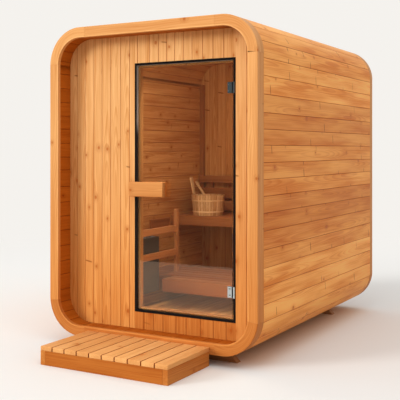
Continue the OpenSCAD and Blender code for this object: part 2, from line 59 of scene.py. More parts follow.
RIGHT_LOW, RIGHT_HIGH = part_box("right_wall")
HALF_W, IN_X = RIGHT_HIGH.x, RIGHT_LOW.x    # outer and inner half width of the shell
LOW_Z, HIGH_Z = RIGHT_LOW.z, RIGHT_HIGH.z   # where the straight sides start and end
STAVE_Y0, STAVE_Y1 = RIGHT_LOW.y, RIGHT_HIGH.y
FLAT_X, _, TOP_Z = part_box("roof_boards")[1]  # half of the straight part of the roof, and its top
BASE_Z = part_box("floor_boards")[0].z
MID_Z = (TOP_Z + BASE_Z) / 2
CORNER_R = HALF_W - FLAT_X
WALL_T = HALF_W - IN_X
FACE_Y, TAIL_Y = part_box("front_hoop_rails")[0].y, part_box("rear_hoop_rails")[1].y
WALL_FRONT, WALL_BACK = (corner.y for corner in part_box("front_wall_left"))
REAR_FRONT, REAR_BACK = (corner.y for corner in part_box("back_wall"))
DOOR_LOW, DOOR_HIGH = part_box("metal_frame_sides")
GLASS_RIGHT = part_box("door_glass")[1].x
CLAD_T = 0.024      # thickness of the cladding
SEAT = 0.0003       # clearance between seated pieces


# ---- what a user would change ----

def colour(name, description, value):
    return bpy.props.FloatVectorProperty(name=name, description=description, subtype="COLOR", size=3,
                                         min=0.0, max=1.0, default=value)


def two_woods(key, name, of, pale, deep):
    """The colours of a wood's early and late growth."""
    return {key + "_pale": colour(name + ", pale", "Early wood of " + of, pale),
            key + "_deep": colour(name + ", deep", "Late wood of " + of, deep)}


def measure(name, description, value, low, high, unit="NONE", digits=4):
    return bpy.props.FloatProperty(name=name, description=description, unit=unit, default=value, min=low, max=high,
                                   precision=digits)


class SaunaSizes(bpy.types.PropertyGroup):
    groove: measure("Board groove", "Depth of the V between two cladding boards", 0.0024, 0.0005, 0.006, "LENGTH")
    arris: measure("Edge rounding", "Rounding of the sawn edges of frames and bearers", 0.0015, 0.0002, 0.004, "LENGTH")
    bench_round: measure("Bench rounding", "Rounding of the bench and step boards that are touched",
                         0.004, 0.001, 0.01, "LENGTH")
    board_gap: measure("Board gap", "Open joint between two boards", 0.0006, 0.0001, 0.002, "LENGTH")
    stone: measure("Stone size", "Mean radius of the heater's stones", 0.032, 0.015, 0.05, "LENGTH")


class SaunaColours(bpy.types.PropertyGroup):
    __annotations__ = {
        **two_woods("clad", "Cladding", "the outer boards", (0.985, 0.455, 0.125), (0.70, 0.205, 0.030)),
        **two_woods("lining", "Lining", "the inner staves", (0.68, 0.355, 0.120), (0.42, 0.155, 0.041)),
        # the porch's colours are deeper and redder than the lining's, partly painted shade of the porch's recess
        **two_woods("porch", "Porch", "the staves in the porch", (0.54, 0.150, 0.015), (0.33, 0.066, 0.003)),
        **two_woods("hoop", "Hoops", "the two hoops", (0.75, 0.372, 0.135), (0.575, 0.222, 0.060)),
        **two_woods("front", "End walls", "the end walls' planks", (0.885, 0.507, 0.215), (0.65, 0.278, 0.082)),
        **two_woods("bench", "Benches", "the benches and backrest", (0.43, 0.180, 0.065), (0.275, 0.088, 0.023)),
        **two_woods("frame", "Bearers", "bearers, battens and cradles", (0.50, 0.24, 0.10), (0.30, 0.115, 0.042)),
        **two_woods("step", "Step", "the step", (0.89, 0.47, 0.175), (0.67, 0.275, 0.078)),
        **two_woods("pail", "Bucket", "the bucket, ladle and handles", (0.78, 0.53, 0.27), (0.56, 0.31, 0.115)),
        "metal": colour("Frame metal", "Painted metal round the doorway", (0.009, 0.008, 0.008)),
        # the seal's grey is kept above the upper hinge's height, partly the seal's colour and partly a painted
        # highlight on the frame's inner faces
        "seal": colour("Frame seal", "Grey seal on the frame's inner faces", (0.38, 0.37, 0.345)),
        "steel": colour("Hinge steel", "Brushed steel of the hinges and standoffs", (0.56, 0.58, 0.57)),
        "casing": colour("Heater casing", "Enamel of the heater", (0.11, 0.11, 0.105)),
        "stones": colour("Stones", "Stones in the heater's tray", (0.20, 0.19, 0.18)),
        "glass": colour("Glass", "Tone of the door's glass", (0.90, 0.84, 0.76)),
        "floor": colour("Floor", "Studio floor", (0.91, 0.92, 0.91)),
        "backdrop": colour("Backdrop", "Background as the camera sees it", (0.913, 0.888, 0.85)),
    }


class SaunaLight(bpy.types.PropertyGroup):
    key: measure("Key light", "Strength of the soft key light from the front left", 1.9, 0.0, 20.0, digits=2)
    fill: measure("Fill", "Strength of the even light at the horizon", 0.60, 0.0, 5.0, digits=2)
    overhead: measure("Overhead", "Strength of the even light from above", 0.95, 0.0, 5.0, digits=2)
    softbox: measure("Softbox", "Power of the soft lamp above the front", 30.0, 0.0, 500.0, "POWER", 2)
    cabin: measure("Cabin light", "Power of the lamps inside the cabin", 14.5, 0.0, 200.0, "POWER", 2)
    lens: measure("Lens", "Focal length of the camera in millimetres", 72.55, 20.0, 300.0, digits=2)


# ---- shader nodes ----

class Shader:
    """Short words for adding and joining shader nodes."""

    def __init__(self, tree):
        self.tree = tree

    def add(self, kind, inputs=None, **settings):
        node = self.tree.nodes.new("ShaderNode" + kind)
        for key, value in settings.items():
            setattr(node, key, value)
        return self.feed(node, inputs or {})

    def feed(self, node, inputs):
        """Joins each named input of a node to a socket, or sets it to a value."""
        for key, value in inputs.items():
            if isinstance(value, bpy.types.NodeSocket):
                self.tree.links.new(value, node.inputs[key])
            else:
                node.inputs[key].default_value = value
        return node

    def math(self, operation, a, b=0.0, c=0.0, clamp=False):
        return self.add("Math", {0: a, 1: b, 2: c}, operation=operation, use_clamp=clamp).outputs[0]

    def times(self, a, b, plus=0.0, clamp=False):
        return self.math("MULTIPLY_ADD", a, b, plus, clamp)

    def vector(self, operation, a, b):
        return self.add("VectorMath", {0: a, 1: b}, operation=operation).outputs[0]

    def axes(self, vector):
        return self.add("SeparateXYZ", {0: vector}).outputs

    def object_point(self):
        return self.add("TexCoord").outputs["Object"]

    def mix(self, a, b, factor, blend="MIX"):
        return self.add("Mix", {0: factor, 6: a, 7: b}, data_type="RGBA", blend_type=blend).outputs[2]

    def stain(self, tint, by, factor=1.0):
        """tint multiplied by a colour, as far as factor says."""
        return self.mix(tint, by if isinstance(by, bpy.types.NodeSocket) else opaque(by), factor, "MULTIPLY")

    def between(self, value, low, high, to_low=0.0, to_high=1.0, smooth=True):
        """value carried from low..high to to_low..to_high, held at the ends."""
        return self.add("MapRange", {0: value, 1: low, 2: high, 3: to_low, 4: to_high},
                        interpolation_type="SMOOTHSTEP" if smooth else "LINEAR").outputs[0]

    def noise(self, vector, by, detail=2.0, roughness=0.5, distortion=0.0):
        """Noise from about -0.5 to 0.5 on a stretched vector."""
        node = self.add("TexNoise", {"Vector": self.vector("MULTIPLY", vector, by), "Scale": 1.0, "Detail": detail,
                                     "Roughness": roughness, "Distortion": distortion})
        return self.math("SUBTRACT", node.outputs[0], 0.5)

    def total(self, *terms):
        """Sum of (value, weight) pairs, with a plain number as the start."""
        made = terms[0]
        for value, weight in terms[1:]:
            made = self.times(value, weight, made)
        return made

    def blend(self, factor, first, second):
        """Two shaders mixed by a factor."""
        return self.add("MixShader", {0: factor, 1: first.outputs[0], 2: second.outputs[0]}).outputs[0]


def opaque(value, by=(1.0, 1.0, 1.0)):
    """A colour with full alpha, each channel multiplied by its share."""
    return (*(v * k for v, k in zip(value, by)), 1.0)


def once(library):
    """Makes a maker hand back what it made before under the same name."""
    def keep(make):
        return lambda name, *args, **settings: getattr(bpy.data, library).get(name) or make(name, *args, **settings)
    return keep


def node_group(name, inputs, outputs):
    """An empty node group with its sockets: (Shader, input sockets, output node)."""
    tree = bpy.data.node_groups.new(name, "ShaderNodeTree")
    for socket, kind, value in inputs:
        made = tree.interface.new_socket(name=socket, in_out="INPUT", socket_type="NodeSocket" + kind)
        made.default_value = value
    for socket, kind in outputs:
        tree.interface.new_socket(name=socket, in_out="OUTPUT", socket_type="NodeSocket" + kind)
    source, sink = tree.nodes.new("NodeGroupInput"), tree.nodes.new("NodeGroupOutput")
    return Shader(tree), source.outputs, sink


SURFACE_OUTPUTS = [("Color", "Color"), ("Roughness", "Float"), ("Height", "Float")]


@once("node_groups")
def wood_group(name):
    """Growth rings, streaks, fibres and knots of softwood, with painted shade near the floor and in grooves and a
    painted highlight on arrises. Grain is (across, along, depth) in metres.
    """
    s, given, out = node_group(name, [
        ("Grain", "Vector", (0, 0, 0)), ("Tone", "Float", 0.5), ("Recess", "Float", 0.0),
        ("Pale", "Color", (0.9, 0.5, 0.2, 1)), ("Deep", "Color", (0.6, 0.25, 0.08, 1)),
        ("Knots", "Float", 0.3), ("Spikes", "Float", 0.0), ("Ring Width", "Float", 0.003),
        ("Contrast", "Float", 1.0), ("Patch", "Float", 0.8), ("Groove Shade", "Float", 0.7), ("Arris", "Float", 0.0),
        ("Low", "Float", 0.0), ("Streak", "Float", 1.0)], SURFACE_OUTPUTS)
    grain = given["Grain"]
    across, along, depth = s.axes(grain)
    # round knots: one cell of a stretched pattern holds one knot, and few cells have one
    off_x, off_y, pick, size = knot_cells(s, grain, 9.0, 2.9)
    flat_y = s.times(off_y, 0.75)
    away = s.math("SQRT", s.times(flat_y, flat_y, s.times(off_x, off_x)))
    away = s.times(s.noise(grain, (160, 90, 160)), 0.003, away)
    share = s.math("DIVIDE", away, s.between(size, 0.0, 1.0, 0.0045, 0.0100, smooth=False))
    chosen = s.math("LESS_THAN", pick, given["Knots"])
    knot = s.times(s.between(share, 0.6, 1.35, 1.0, 0.0), chosen)
    halo = s.times(s.between(share, 0.9, 4.5, 1.0, 0.0), chosen)
    # spike knots: short dark marks across the grain
    spike_x, spike_y, pick, size = knot_cells(s, s.vector("ADD", grain, (3.1, 7.7, 0)), 8.0, 2.2)
    reach = s.math("ABSOLUTE", spike_x)
    near = s.times(s.between(s.math("ABSOLUTE", s.times(spike_x, 0.16, spike_y)), 0.0022, 0.0070, 1.0, 0.0),
                   s.between(reach, 0.016, 0.038, 1.0, 0.0))
    spike = s.times(s.times(near, s.math("LESS_THAN", pick, given["Spikes"])),
                    s.between(size, 0.0, 1.0, 0.35, 1.0, smooth=False))
    # rings bend round the knots and wander along the board
    bent = s.times(s.times(off_x, halo), -0.8, across)
    bent = s.total(bent, (s.noise(grain, (4, 0.8, 4)), 0.05), (s.noise(grain, (30, 3, 30)), 0.003))
    ring = s.math("SQRT", s.times(bent, bent, s.times(depth, depth)))
    ring = s.total(ring, (s.noise(grain, (1.2, 0.5, 1.2)), 0.06), (along, 0.003))
    turn = s.math("FRACT", s.math("DIVIDE", ring, given["Ring Width"]))
    late = s.times(s.between(turn, 0.25, 0.85), s.between(turn, 0.9, 1.0, 1.0, 0.0))
    patch = s.noise(grain, (11, 1.3, 11), 2.0)
    streak = s.times(s.noise(grain, (46, 1.6, 46), 3.0, 0.6, 0.4), given["Streak"])
    fine = s.noise(grain, (170, 2.2, 170), 3.0, 0.6)
    fibre = s.noise(grain, (720, 8, 720), 2.0)
    figure = s.total(-0.10, (late, 0.30), (streak, 0.95), (patch, given["Patch"]), (fine, 0.75), (fibre, 0.45))
    tint = s.mix(given["Pale"], given["Deep"], s.times(figure, given["Contrast"], 0.42, clamp=True))
    # each board has its own tone: darker boards are also redder
    tone = s.math("SUBTRACT", given["Tone"], 0.5)
    lift = {channel: s.times(tone, slope, 1.0) for channel, slope in enumerate((0.32, 0.52, 0.70))}
    tint = s.stain(tint, s.add("CombineColor", lift).outputs[0])
    tint = s.stain(tint, (0.74, 0.60, 0.50), s.times(halo, 0.5))
    tint = s.mix(tint, s.stain(given["Deep"], (0.78, 0.50, 0.34)), s.times(knot, 0.8))
    # spikes are dark, painted shade deepens the boards towards the floor, a painted highlight lightens the arrises,
    # grooves are shaded
    for by, factor in (((0.42, 0.28, 0.20), spike), ((0.90, 0.67, 0.40), given["Low"]),
                       ((1.18, 1.30, 1.42), given["Arris"]),
                       ((0.48, 0.22, 0.10), s.times(given["Recess"], given["Groove Shade"], clamp=True))):
        tint = s.stain(tint, by, factor)
    s.feed(out, {"Color": tint, "Roughness": s.total(0.50, (late, -0.07), (fine, 0.22), (knot, -0.10)),
                 "Height": s.total(0.0, (late, 0.45), (fibre, 0.6), (fine, 0.5), (knot, 0.5))})
    return s.tree


def knot_cells(s, grain, across, along):
    """Offsets across and along from the middle of the nearest cell, and two random numbers of that cell."""
    cell = s.add("TexVoronoi", {"Vector": s.vector("MULTIPLY", grain, (across, along, 0.0)), "Scale": 1.0,
                                "Randomness": 0.9}, voronoi_dimensions="2D")
    pick, size, _ = s.add("SeparateColor", {0: cell.outputs["Color"]}).outputs
    middle = s.vector("MULTIPLY", cell.outputs["Position"], (1 / across, 1 / along, 0.0))
    off_x, off_y, _ = s.axes(s.vector("SUBTRACT", grain, middle))
    return off_x, off_y, pick, size


@once("node_groups")
def wear_group(name):
    """Faint blotches and scratches for painted or brushed metal, and for stone."""
    s, given, out = node_group(name, [
        ("Vector", "Vector", (0, 0, 0)), ("Stretch", "Vector", (1, 1, 1)), ("Base", "Color", (0.5, 0.5, 0.5, 1)),
        ("Spread", "Float", 0.15), ("Roughness", "Float", 0.4)], SURFACE_OUTPUTS)
    broad = s.noise(given["Vector"], (9, 9, 9), 3.0)
    fine = s.noise(s.vector("MULTIPLY", given["Vector"], given["Stretch"]), (1, 1, 1), 3.0, 0.65)
    change = s.times(s.total(0.0, (broad, 1.0), (fine, 1.2)), given["Spread"])
    shade = s.math("ADD", change, 1.0)
    shades = s.add("CombineColor", {0: shade, 1: shade, 2: shade}).outputs[0]
    s.feed(out, {"Color": s.stain(given["Base"], shades), "Height": fine,
                 "Roughness": s.times(change, 0.7, given["Roughness"], clamp=True)})
    return s.tree


def new_material(name, **inputs):
    """A node material with a Principled surface: (material, Shader, Principled node, output node)."""
    material = bpy.data.materials.new(name)
    material.use_nodes = True
    material.node_tree.nodes.clear()
    s = Shader(material.node_tree)
    surface = s.add("BsdfPrincipled", {key.replace("_", " "): value for key, value in inputs.items()})
    return material, s, surface, s.add("OutputMaterial", {0: surface.outputs[0]})


WOOD_SHINE = 0.08   # low, so that sawn wood keeps its colour in soft light


@once("materials")
def wood(name, key, knots=0.25, spikes=0.0, ring=0.003, contrast=1.0, patch=0.8, groove=0.6, gloss=0.0, low=0.0,
         streak=1.0, fade=0.0, shade=(1.0, 1.0, 1.0)):
    """A softwood finish on each board's own grain; low is a painted shade that deepens it near the floor, fade towards
    the front.
    """
    material, s, surface, _ = new_material(name, Specular_IOR_Level=WOOD_SHINE)
    pale, deep = (opaque(getattr(bpy.context.scene.sauna_colours, key + end), shade) for end in ("_pale", "_deep"))
    tone, recess, arris = s.axes(s.add("Attribute", attribute_name="board").outputs["Vector"])
    _, along, height = s.axes(s.object_point())
    if fade:
        tone = s.math("ADD", tone, s.between(along, FACE_Y, TAIL_Y, -fade, fade, smooth=False))
    figure = s.add("Group", {
        "Grain": s.add("Attribute", attribute_name="grain").outputs["Vector"], "Tone": tone, "Recess": recess,
        "Pale": pale, "Deep": deep, "Knots": knots, "Spikes": spikes, "Ring Width": ring,
        "Contrast": contrast, "Patch": patch, "Groove Shade": groove, "Arris": arris, "Streak": streak,
        "Low": s.between(height, BASE_Z + 0.05, BASE_Z + 1.6, low, 0.0)}, node_tree=wood_group("wood figure")).outputs
    bump = s.add("Bump", {"Height": figure["Height"], "Strength": 0.35, "Distance": 0.0006})
    s.feed(surface, {"Base Color": figure["Color"], "Normal": bump.outputs[0],
                     "Roughness": s.math("SUBTRACT", figure["Roughness"], gloss)})
    return material


@once("materials")
def worn(name, base, stretch, spread, roughness, metallic=0.0, bump=0.15, depth=0.0004, gloss=0.5, low=None):
    """Painted metal, brushed metal or stone; low is its colour below the upper hinge's height, so that its colour above
    stands as a painted highlight.
    """
    material, s, surface, _ = new_material(name, Metallic=metallic, Specular_IOR_Level=gloss)
    base = opaque(base)
    if low:
        base = s.mix(opaque(low), base, s.between(s.axes(s.object_point())[2], 1.42, 1.55))
    wear = s.add("Group", {"Vector": s.object_point(), "Stretch": stretch, "Base": base, "Spread": spread,
                           "Roughness": roughness}, node_tree=wear_group("surface wear")).outputs
    relief = s.add("Bump", {"Height": wear["Height"], "Strength": bump, "Distance": depth})
    s.feed(surface, {"Base Color": wear["Color"], "Roughness": wear["Roughness"], "Normal": relief.outputs[0]})
    return material


@once("materials")
def clear_glass(name, tone):
    """Clear toned glass that lets light through to the cabin."""
    material, s, surface, output = new_material(name, Base_Color=opaque(tone), Roughness=0.0, Metallic=0.0, IOR=1.58,
                                                Transmission_Weight=1.0, Specular_Tint=(1.0, 0.74, 0.56, 1.0))
    smear = s.add("Bump", {"Height": s.noise(s.object_point(), (3, 3, 3)), "Strength": 0.005, "Distance": 0.001})
    s.feed(surface, {"Normal": smear.outputs[0]})
    clear = s.add("BsdfTransparent", {"Color": opaque(tone, (0.85, 0.85, 0.85))})
    s.feed(output, {0: s.blend(s.add("LightPath").outputs["Is Shadow Ray"], surface, clear)})
    return material


def finishes():
    """Every finish of the cabin by name."""
    c = bpy.context.scene.sauna_colours
    frame_shade = (0.93, 0.95, 0.92)    # the step's frame is darker than its deck
    even, coarse = (900, 900, 900), (300, 300, 300)
    return {
        # low paints shade near the floor on the hoops, the end walls' planks and the step's frame
        "clad": wood("cladding_boards", "clad", 0.3, 0.6, patch=2.3, groove=0.9, streak=0.8, fade=0.13),
        "lining": wood("lining_staves", "lining", 0.5, 0.3, contrast=1.2, patch=1.2, groove=0.9, streak=1.2),
        "porch": wood("porch_staves", "porch", 0.2, 0.2, contrast=0.8, groove=0.8),
        "hoop": wood("hoop_laminations", "hoop", 0.25, 0.1, contrast=1.1, patch=0.5, gloss=0.05, streak=1.3, low=0.8),
        "front": wood("end_wall_planks", "front", 0.75, 0.1, contrast=1.15, patch=0.7, streak=1.5, low=0.95),
        "bench": wood("bench_boards", "bench", 0.0, contrast=0.7),
        "bearer": wood("bearer_wood", "frame", 0.2, 0.1, contrast=0.8),
        "step": wood("step_boards", "step", 0.25, 0.1, contrast=0.9, patch=1.0, groove=0.95),
        "step_frame": wood("step_frame_boards", "step", 0.6, 0.1, ring=0.006, contrast=1.5, patch=1.2, low=0.8,
                           shade=frame_shade),
        "pail": wood("coopered_wood", "pail", 0.0, contrast=1.2, groove=0.8, gloss=0.05, streak=1.4),
        "metal": worn("black_frame_metal", c.metal, even, 0.35, 0.38, 0.0, 0.10, 0.0002, 0.05),
        # below the upper hinge's height the seal turns near black, so its grey above is partly a painted highlight
        "seal": worn("frame_seal", c.seal, coarse, 0.3, 0.5, 0.0, 0.10, 0.0002, 0.2, (0.03, 0.026, 0.022)),
        "dark_steel": worn("blackened_knuckles", c.metal, even, 0.35, 0.5, 0.0, 0.10, 0.0002, 0.2),
        "steel": worn("brushed_steel", c.steel, (900, 900, 40), 0.25, 0.16, 1.0, 0.05, 0.0001),
        "casing": worn("heater_enamel", c.casing, (500, 500, 500), 0.35, 0.45, 0.2, 0.12, 0.0003),
        "stones": worn("heater_stone", c.stones, (60, 60, 60), 1.1, 0.85, 0.0, 0.9, 0.004),
        "glass": clear_glass("toned_glass", c.glass),
    }


# ---- the shell's outline: s runs up the right side, over the roof, down the left and back along the floor ----

SIDE, ROOF, ARC = HIGH_Z - LOW_Z, 2 * FLAT_X, CORNER_R * math.pi / 2
RUNS = [
    ("flat", SIDE, (HALF_W, LOW_Z), (0, 1)), ("arc", ARC, (FLAT_X, HIGH_Z), 0),
    ("flat", ROOF, (FLAT_X, TOP_Z), (-1, 0)), ("arc", ARC, (-FLAT_X, HIGH_Z), 90),
    ("flat", SIDE, (-HALF_W, HIGH_Z), (0, -1)), ("arc", ARC, (-FLAT_X, LOW_Z), 180),
    ("flat", ROOF, (-FLAT_X, BASE_Z), (1, 0)), ("arc", ARC, (FLAT_X, LOW_Z), 270),
]
RING = 2 * SIDE + 2 * ROOF + 4 * ARC
LEFT = SIDE + 2 * ARC + ROOF    # the way round to the top of the left side


def ring_at(s):
    """(point, outward direction) on the shell's outer surface, in the XZ plane."""
    s %= RING
    for kind, run, at, way in RUNS:
        if s <= run + 1e-9:
            break
        s -= run
    if kind == "flat":
        return Vector((at[0] + way[0] * s, at[1] + way[1] * s)), Vector((way[1], -way[0]))
    turn = math.radians(way) + s / CORNER_R
    out = Vector((math.cos(turn), math.sin(turn)))
    return Vector(at) + out * CORNER_R, out


def ring_of(point):
    """(s, distance outwards from the shell's surface) of a point."""
    x, z = point.x, point.z
    side_x, side_z = abs(x) - FLAT_X, max(z - HIGH_Z, LOW_Z - z)
    right, top = x >= 0, z > MID_Z
    if side_x > 0 and side_z > 0:
        turn = math.atan2(side_z, side_x) * CORNER_R
        out = math.hypot(side_x, side_z) - CORNER_R
        if right:
            return (SIDE + turn if top else RING - turn), out
        return (LEFT - turn if top else LEFT + SIDE + turn), out
    if side_z <= 0 and side_x >= side_z:
        if right:
            return z - LOW_Z, abs(x) - HALF_W
        return LEFT + HIGH_Z - z, abs(x) - HALF_W
    if top:
        return SIDE + ARC + FLAT_X - x, z - TOP_Z
    return LEFT + SIDE + ARC + FLAT_X + x, BASE_Z - z


def spans(joints):
    """Each joint with the next one round the shell."""
    return zip(joints, joints[1:] + [joints[0] + RING])


def ring_from(s, start):
    """The way round the shell from start to s, the shorter way."""
    return (s - start + RING / 2) % RING - RING / 2


def extrude(bm, faces, by):
    """Draws faces out by a vector and returns the faces at the new end."""
    made = bmesh.ops.extrude_face_region(bm, geom=faces)["geom"]
    bmesh.ops.translate(bm, verts=[g for g in made if isinstance(g, bmesh.types.BMVert)], vec=by)
    return [g for g in made if isinstance(g, bmesh.types.BMFace)]


def sweep(section, s0, s1):
    """A solid with its section, in (outwards, along Y) points, carried round the shell from s0 to s1."""
    bm = bmesh.new()
    at, out = ring_at(s0)
    face = bm.faces.new([bm.verts.new((at.x + out.x * o, y, at.y + out.y * o)) for o, y in section])
    last, s, start = [face], s0, 0.0
    for kind, run, centre, way in RUNS * 2:
        end = start + run
        if s1 - s > 1e-7 and s < end - 1e-7:
            part = min(s1, end) - s
            if kind == "flat":
                last = extrude(bm, last, (way[0] * part, 0, way[1] * part))
            else:
                turn = part / CORNER_R
                turned = bmesh.ops.spin(bm, geom=last, cent=(centre[0], 0, centre[1]), axis=(0, -1, 0), angle=turn,
                                        steps=max(1, math.ceil(turn / math.radians(4.5))), use_merge=False,
                                        use_duplicate=False)["geom_last"]
                last = [g for g in turned if isinstance(g, bmesh.types.BMFace)]
            s += part
        start = end
    bmesh.ops.recalc_face_normals(bm, faces=bm.faces)
    return bm


# ---- boards ----

SAME = 1e-5         # two points nearer than this are level with each other


def cad_copy(node):
    """The CAD node's solids as a clean mesh with flat faces joined."""
    bm = bmesh.new()
    bm.from_mesh(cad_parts[node].data)
    bmesh.ops.remove_doubles(bm, verts=bm.verts, dist=2e-5)
    bmesh.ops.dissolve_limit(bm, angle_limit=math.radians(0.8), verts=bm.verts, edges=bm.edges)
    bmesh.ops.recalc_face_normals(bm, faces=bm.faces)
    return bm


def soften(bm, edges, width, segments=1):
    if edges:
        bmesh.ops.bevel(bm, geom=edges, offset=width, offset_type="OFFSET", affect="EDGES", segments=segments,
                        profile=0.5, material=-1, clamp_overlap=True, loop_slide=True)


def sharp_edges(bm, least=40):
    return [e for e in bm.edges if e.is_manifold and e.is_convex and e.calc_face_angle(0) > math.radians(least)]


def softened(node, width, segments=1, least=40):
    """The CAD node's solids with their sharp edges rounded."""
    bm = cad_copy(node)
    soften(bm, sharp_edges(bm, least), width, segments)
    return bm


def cut_away(bm, at, way, inner):
    """Cuts closed solids at a plane, drops the inner or the outer side and closes the cut."""
    bmesh.ops.bisect_plane(bm, geom=bm.verts[:] + bm.edges[:] + bm.faces[:], dist=1e-6, plane_co=at, plane_no=way,
                           clear_inner=inner, clear_outer=not inner)
    bmesh.ops.holes_fill(bm, edges=[e for e in bm.edges if e.is_boundary], sides=0)
    bmesh.ops.recalc_face_normals(bm, faces=bm.faces)


def to_mesh(bm, name):
    """A mesh made of a bmesh, which it frees."""
    mesh = bpy.data.meshes.new(name)
    bm.to_mesh(mesh)
    bm.free()
    return mesh


def link(name, data, material=None):
    """An object linked to the scene; a bmesh becomes its mesh, in one material."""
    if material:
        data = to_mesh(data, name)
        data.materials.append(material)
    made = bpy.data.objects.new(name, data)
    bpy.context.scene.collection.objects.link(made)
    return made


def islands(bm):
    """Lists of vertices, one for each separate solid, from the lowest up."""
    left, found = dict.fromkeys(bm.verts), []      # a dict keeps its order, so each run gives the same
    while left:
        solid = [next(iter(left))]
        del left[solid[0]]
        for reached in solid:
            for vert in (v for edge in reached.link_edges for v in edge.verts if v in left):
                del left[vert]
                solid.append(vert)
        found.append(solid)
    return sorted(found, key=lambda verts: tuple(round(min(v.co[k] for v in verts), 4) for k in (2, 0, 1)))


class Joinery:
    """Gathers boards into one piece, each with its own grain, tone and groove shade."""

    def __init__(self, name, spread=0.22):
        self.name, self.bm, self.spread = name, bmesh.new(), spread
        self.dice = random.Random(name)

    def add(self, board, coords, tone=None, recess=None, arris=None):
        """Adds a board. coords gives (across, along, depth) of a point, recess its shade and arris its painted
        highlight.
        """
        self.layers(board)
        self.mark(board, board.verts, coords, tone, recess, arris)
        self.pour(board)

    def layers(self, bm):
        for name in ("grain", "board"):
            if not bm.verts.layers.float_vector.get(name):
                bm.verts.layers.float_vector.new(name)

    def mark(self, bm, verts, coords, tone=None, recess=None, arris=None):
        grain, board = (bm.verts.layers.float_vector[name] for name in ("grain", "board"))
        # where in its tree the board was sawn, and how dark that tree was
        start = Vector((self.dice.uniform(-0.07, 0.07), self.dice.uniform(-30, 30), self.dice.uniform(0.03, 0.14)))
        own = self.dice.gauss(0.5, self.spread)
        own = min(1.2, max(0.0, own)) if tone is None else tone + (own - 0.5) * 0.25
        for v in verts:
            v[grain] = Vector(coords(v.co)) + start
            v[board] = (own, recess(v.co) if recess else 0.0, arris(v.co) if arris else 0.0)

    def pour(self, bm):
        mesh = to_mesh(bm, "board")
        self.bm.from_mesh(mesh)
        bpy.data.meshes.remove(mesh)

    def solids(self, bm, tone=None, along=None, dark_sides=False):
        """Adds a mesh of separate solids: grain runs along each one's longest side, or along the named axis."""
        self.layers(bm)
        edge = min(v.co.x for v in bm.verts), max(v.co.x for v in bm.verts)
        for verts in islands(bm):
            low, high = (Vector([pick(v.co[k] for v in verts) for k in range(3)]) for pick in (min, max))
            order = sorted(range(3), key=lambda k: high[k] - low[k], reverse=True)
            if along is not None:
                order = [along] + [k for k in order if k != along]
            mid = (low + high) / 2

            def side(p):
                """1 on the faces between two boards, where shade is painted into the gaps, 0 elsewhere."""
                return float(abs(p.x - mid.x) > (high.x - low.x) / 2 - 0.0008
                             and edge[0] + 0.002 < p.x < edge[1] - 0.002)

            self.mark(bm, verts, lambda p: (p[order[1]] - mid[order[1]], p[order[0]], p[order[2]] - mid[order[2]]),
                      tone, side if dark_sides else None)
        self.pour(bm)

    def done(self, finish, slot, replaces, body="cabin"):
        return place(self.bm, self.name, finish, replaces, body, smooth=True)


def place(bm, name, finish, replaces, body="cabin", crease=20, smooth=False):
    """Makes the finished piece and hangs it on its body."""
    if smooth:
        for face in bm.faces:
            face.smooth = True
    piece = link(name, bm, finish)
    piece.data.set_sharp_from_angle(angle=math.radians(crease))
    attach(piece, body)
    if replaces:
        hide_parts(*replaces)
    return piece


def from_cad(node, finish, slot, body="cabin", width=0.0015, segments=1, least=40, along=None, tone=None, name=None,
             spread=0.22, dark_sides=False):
    """A CAD node's own solids with softened edges and grain along each board."""
    work = Joinery(name or node + "_boards", spread)
    work.solids(softened(node, width, segments, least), tone, along, dark_sides)
    return work.done(finish, slot, [node], body)


def metal_from_cad(node, finish, body, width=0.0006):
    """A CAD node's own solids with softened edges, in metal."""
    return place(softened(node, width), node + "_finished", finish, [node], body, smooth=True)


# ---- shell ----

SHELL_NODES = ["floor_boards", "roof_boards", "left_wall", "right_wall", "shell_corners"]
# heights of the joints between boards on the outer sides, and on the inner sides of the porch and the cabin
SIDE_JOINTS = [0.500, 0.615, 0.727, 0.841, 0.950, 1.053, 1.155, 1.258, 1.364, 1.462, 1.563, 1.675, 1.789]
PORCH_JOINTS = [0.364, 0.469, 0.563, 0.668, 0.776, 0.874, 0.971, 1.079, 1.195, 1.285, 1.381, 1.481, 1.571, 1.666,
                1.763]
CABIN_JOINTS = [0.395, 0.495, 0.595, 0.695, 0.795, 0.895, 0.995, 1.110, 1.225, 1.323, 1.394, 1.494, 1.593, 1.695,
                1.793, 1.890]


def ring_joints(heights, pitch):
    """Joints round the shell: at the given heights on the two sides, evenly spaced elsewhere."""
    marks = [z - LOW_Z for z in heights] + sorted(LEFT + HIGH_Z - z for z in heights)
    joints = []
    for a, b in spans(marks):
        joints.append(a)
        if b - a > 1.6 * pitch:
            count = round((b - a) / pitch)
            joints += [a + (b - a) * k / count for k in range(1, count)]
    return joints


def long_boards(work, joints, depth0, depth1, y0, y1, outside, sizes, tone):
    """Boards along Y round the shell, between two depths, with a V on their visible side."""
    gap, groove = sizes.board_gap / 2, sizes.groove
    shown = -depth0 if outside else -depth1
    near, end_arris = 0.0015, 0.0008
    for index, (a, b) in enumerate(spans(joints)):
        work.dice.random()      # one draw for each board, which sets what the later ones give
        bm = sweep([(-depth1, y0), (-depth1, y1), (-depth0, y1), (-depth0, y0)], a + gap, b - gap)
        long_edges = []
        for edge in sharp_edges(bm, 60):
            p, q = (v.co for v in edge.verts)
            if abs(ring_of((p + q) / 2)[1] - shown) < near and abs(p.y - q.y) > 0.05:
                long_edges.append(edge)
        soften(bm, long_edges, groove)
        soften(bm, [e for e in sharp_edges(bm, 60) if abs(e.verts[0].co.y - e.verts[1].co.y) < SAME
                    and all(abs(ring_of(v.co)[1] - shown) < near for v in e.verts)], end_arris)

        def coords(p):
            s, out = ring_of(p)
            return (ring_from(s, a) - (b - a) / 2, p.y, out + (depth0 + depth1) / 2)

        work.add(bm, coords, tone(index, b), lambda p: min(1.0, abs(ring_of(p)[1] - shown) / groove))


